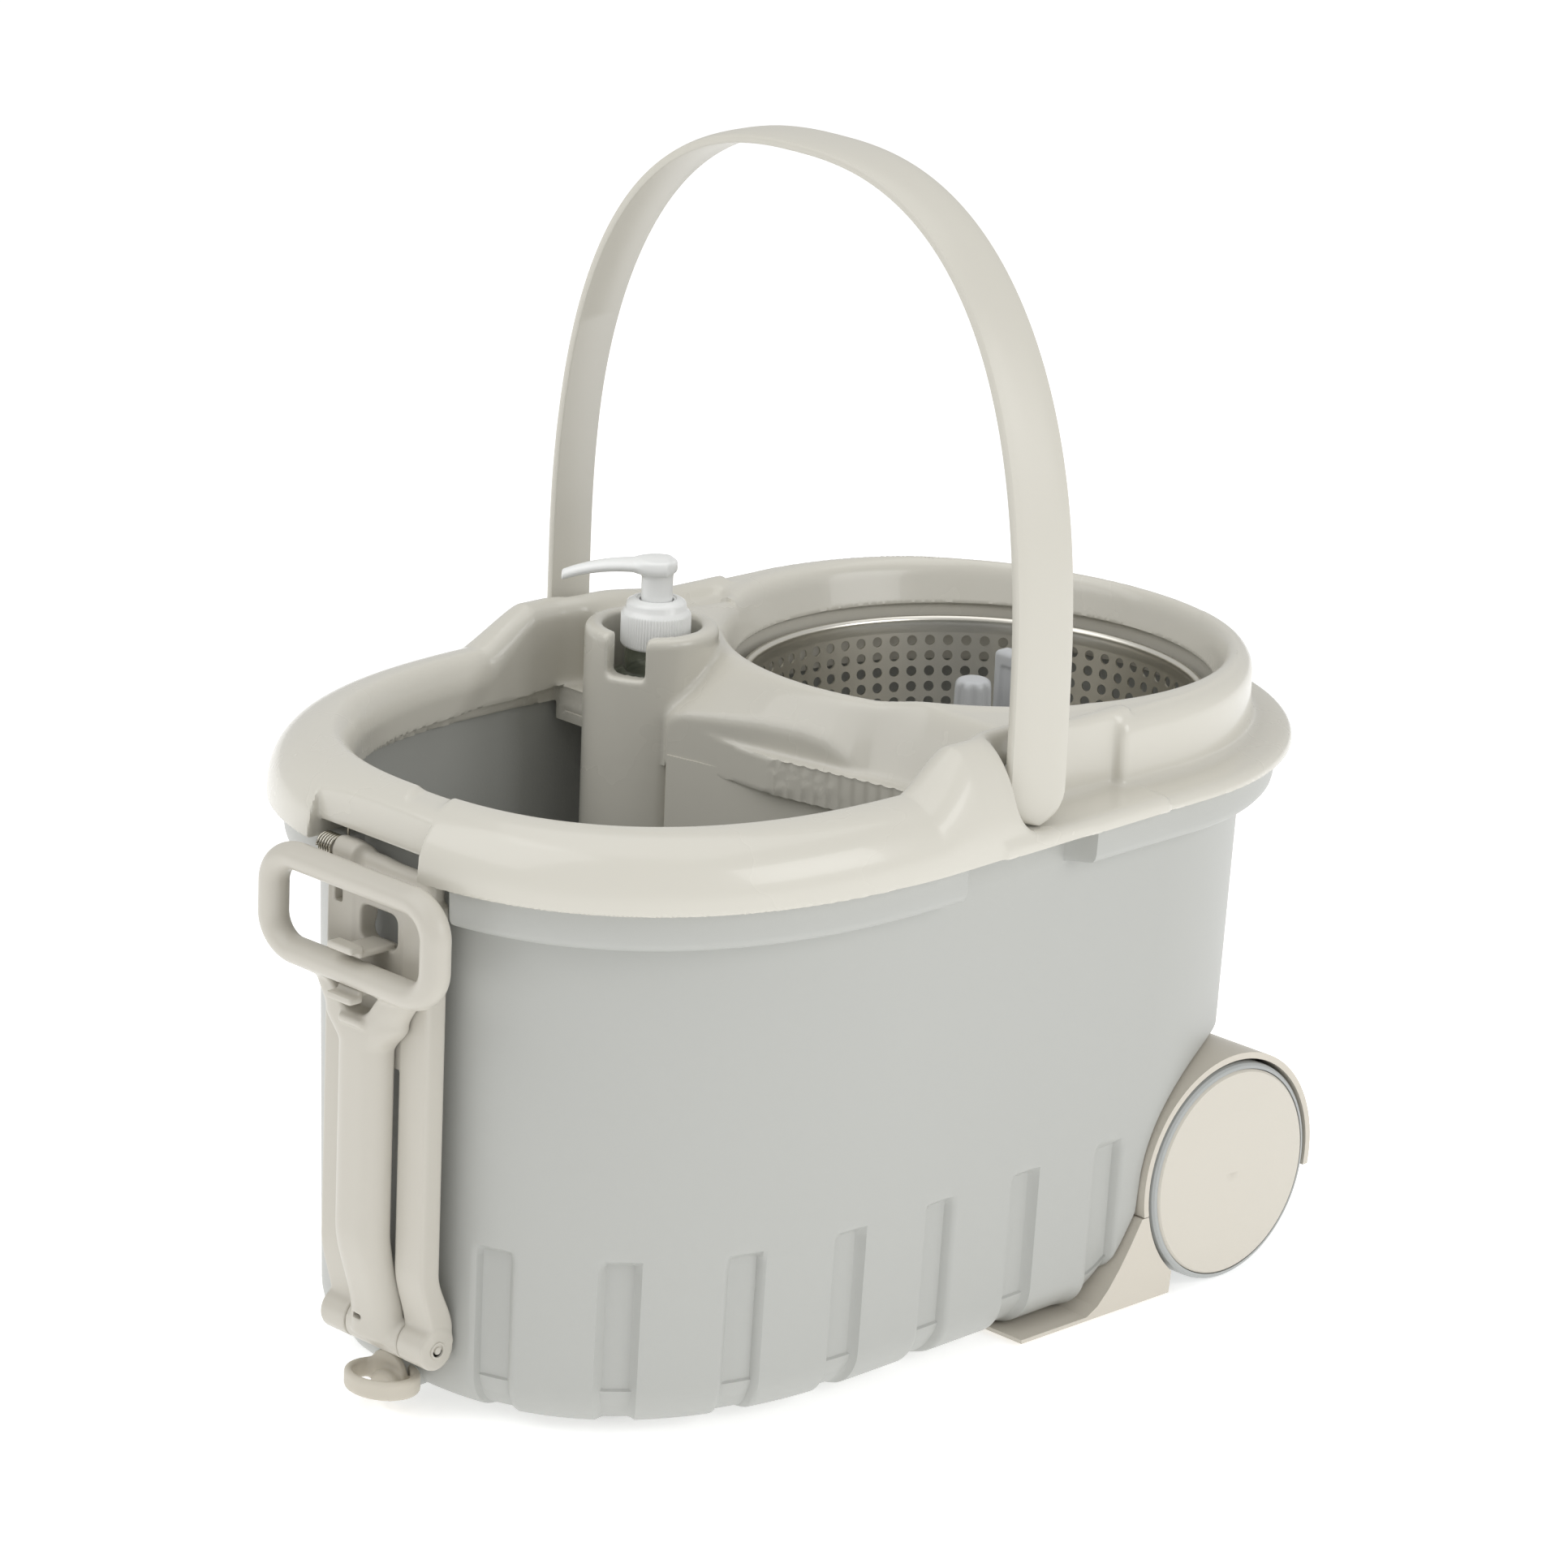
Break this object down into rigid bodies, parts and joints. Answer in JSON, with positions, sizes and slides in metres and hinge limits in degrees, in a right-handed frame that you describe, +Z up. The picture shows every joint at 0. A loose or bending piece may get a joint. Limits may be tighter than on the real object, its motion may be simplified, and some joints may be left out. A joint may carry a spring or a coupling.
{
  "type": "wheeled spin mop bucket",
  "caption": "Oval wash tub with a clip-on lid that holds a spinning perforated wringer basket, a soap pump, a folding carry handle, a fold-out pull handle and rear wheels.",
  "frame": {"origin": "on the ground under the middle of the overall box", "axes": "+X along the length towards the wheels, -X the pull handle, -Y the bucket's right side, +Z up"},
  "size_m": [0.488, 0.3, 0.499],
  "materials": {
    "grey_plastic": "fine satin moulded polypropylene",
    "beige_plastic": "glossy moulded polypropylene",
    "plug_rubber": "soft matt rubber",
    "black_rubber": "matt rubber",
    "carriage_plastic": "satin moulded polypropylene",
    "steel": "zinc-plated steel",
    "clip_plastic": "satin acetal",
    "wheel_plastic": "satin moulded polypropylene",
    "cap_plastic": "satin moulded polypropylene",
    "handle_plastic": "satin moulded polypropylene",
    "pull_plastic": "satin moulded polypropylene",
    "spring_steel": "bright spring wire",
    "basket_steel": "bright perforated stainless sheet",
    "white_plastic": "satin moulded polypropylene",
    "bottle_plastic": "clear blown bottle",
    "pump_plastic": "glossy moulded polypropylene"
  },
  "bodies": {
    "bucket": {"tub": "grey_plastic", "lid": "beige_plastic", "feet": "black_rubber", "wheel_carriage": "carriage_plastic", "carriage_screws": "steel", "axle": "steel", "axle_clips": "clip_plastic", "top_hinge_pin": "steel", "hinge_spring": "spring_steel", "spindle_post": "grey_plastic", "spindle": "steel", "thrust_washer": "clip_plastic", "bottle": "bottle_plastic", "dip_tube": "pump_plastic", "pump_closure": "pump_plastic"},
    "carry_handle": {"carry_handle": "handle_plastic", "handle_pins": "handle_plastic"},
    "pull_frame": {"pull_frame": "pull_plastic", "low_hinge_pin": "steel"},
    "pull_arm": {"pull_arm": "pull_plastic"},
    "wringer": {"basket": "basket_steel", "basket_base": "white_plastic", "drive_hub": "white_plastic", "hub_bush": "clip_plastic", "base_rivets": "steel"},
    "wheel_left": {"wheel_left": "wheel_plastic", "hub_cap_left": "cap_plastic"},
    "wheel_right": {"wheel_right": "wheel_plastic", "hub_cap_right": "cap_plastic"},
    "pump_head": {"pump_head": "pump_plastic", "pump_stem": "pump_plastic"},
    "drain_plug": {"drain_plug": "plug_rubber"}
  },
  "joints": [
    {"name": "carry_handle_fold", "type": "hinge", "parent": "bucket", "child": "carry_handle", "pos_m": [0.002, 0, 0.255], "axis": [0, 1, 0], "range_deg": [0, 88]},
    {"name": "pull_frame_swing", "type": "hinge", "parent": "bucket", "child": "pull_frame", "pos_m": [-0.226, 0, 0.236], "axis": [0, 1, 0], "range_deg": [0, 88], "stiffness_Nm_per_rad": 0.02, "springref_deg": -34.38},
    {"name": "pull_arm_fold", "type": "hinge", "parent": "pull_frame", "child": "pull_arm", "pos_m": [-0.2185, 0, 0.033], "axis": [0, -1, 0], "range_deg": [0, 82]},
    {"name": "basket_spin", "type": "hinge", "parent": "bucket", "child": "wringer", "pos_m": [0.111, 0, 0.2], "axis": [0, 0, 1], "continuous": true},
    {"name": "wheel_left_spin", "type": "hinge", "parent": "bucket", "child": "wheel_left", "pos_m": [0.1555, 0.11, 0.0486], "axis": [0, 1, 0], "continuous": true},
    {"name": "wheel_right_spin", "type": "hinge", "parent": "bucket", "child": "wheel_right", "pos_m": [0.1555, -0.11, 0.0486], "axis": [0, 1, 0], "continuous": true},
    {"name": "pump_press", "type": "slide", "parent": "bucket", "child": "pump_head", "axis": [0, 0, -1], "range_m": [0, 0.008], "stiffness_N_per_m": 300, "springref_m": -0.004},
    {"name": "drain_plug_pull", "type": "slide", "parent": "bucket", "child": "drain_plug", "axis": [-1, 0, 0], "range_m": [0, 0.03]}
  ]
}
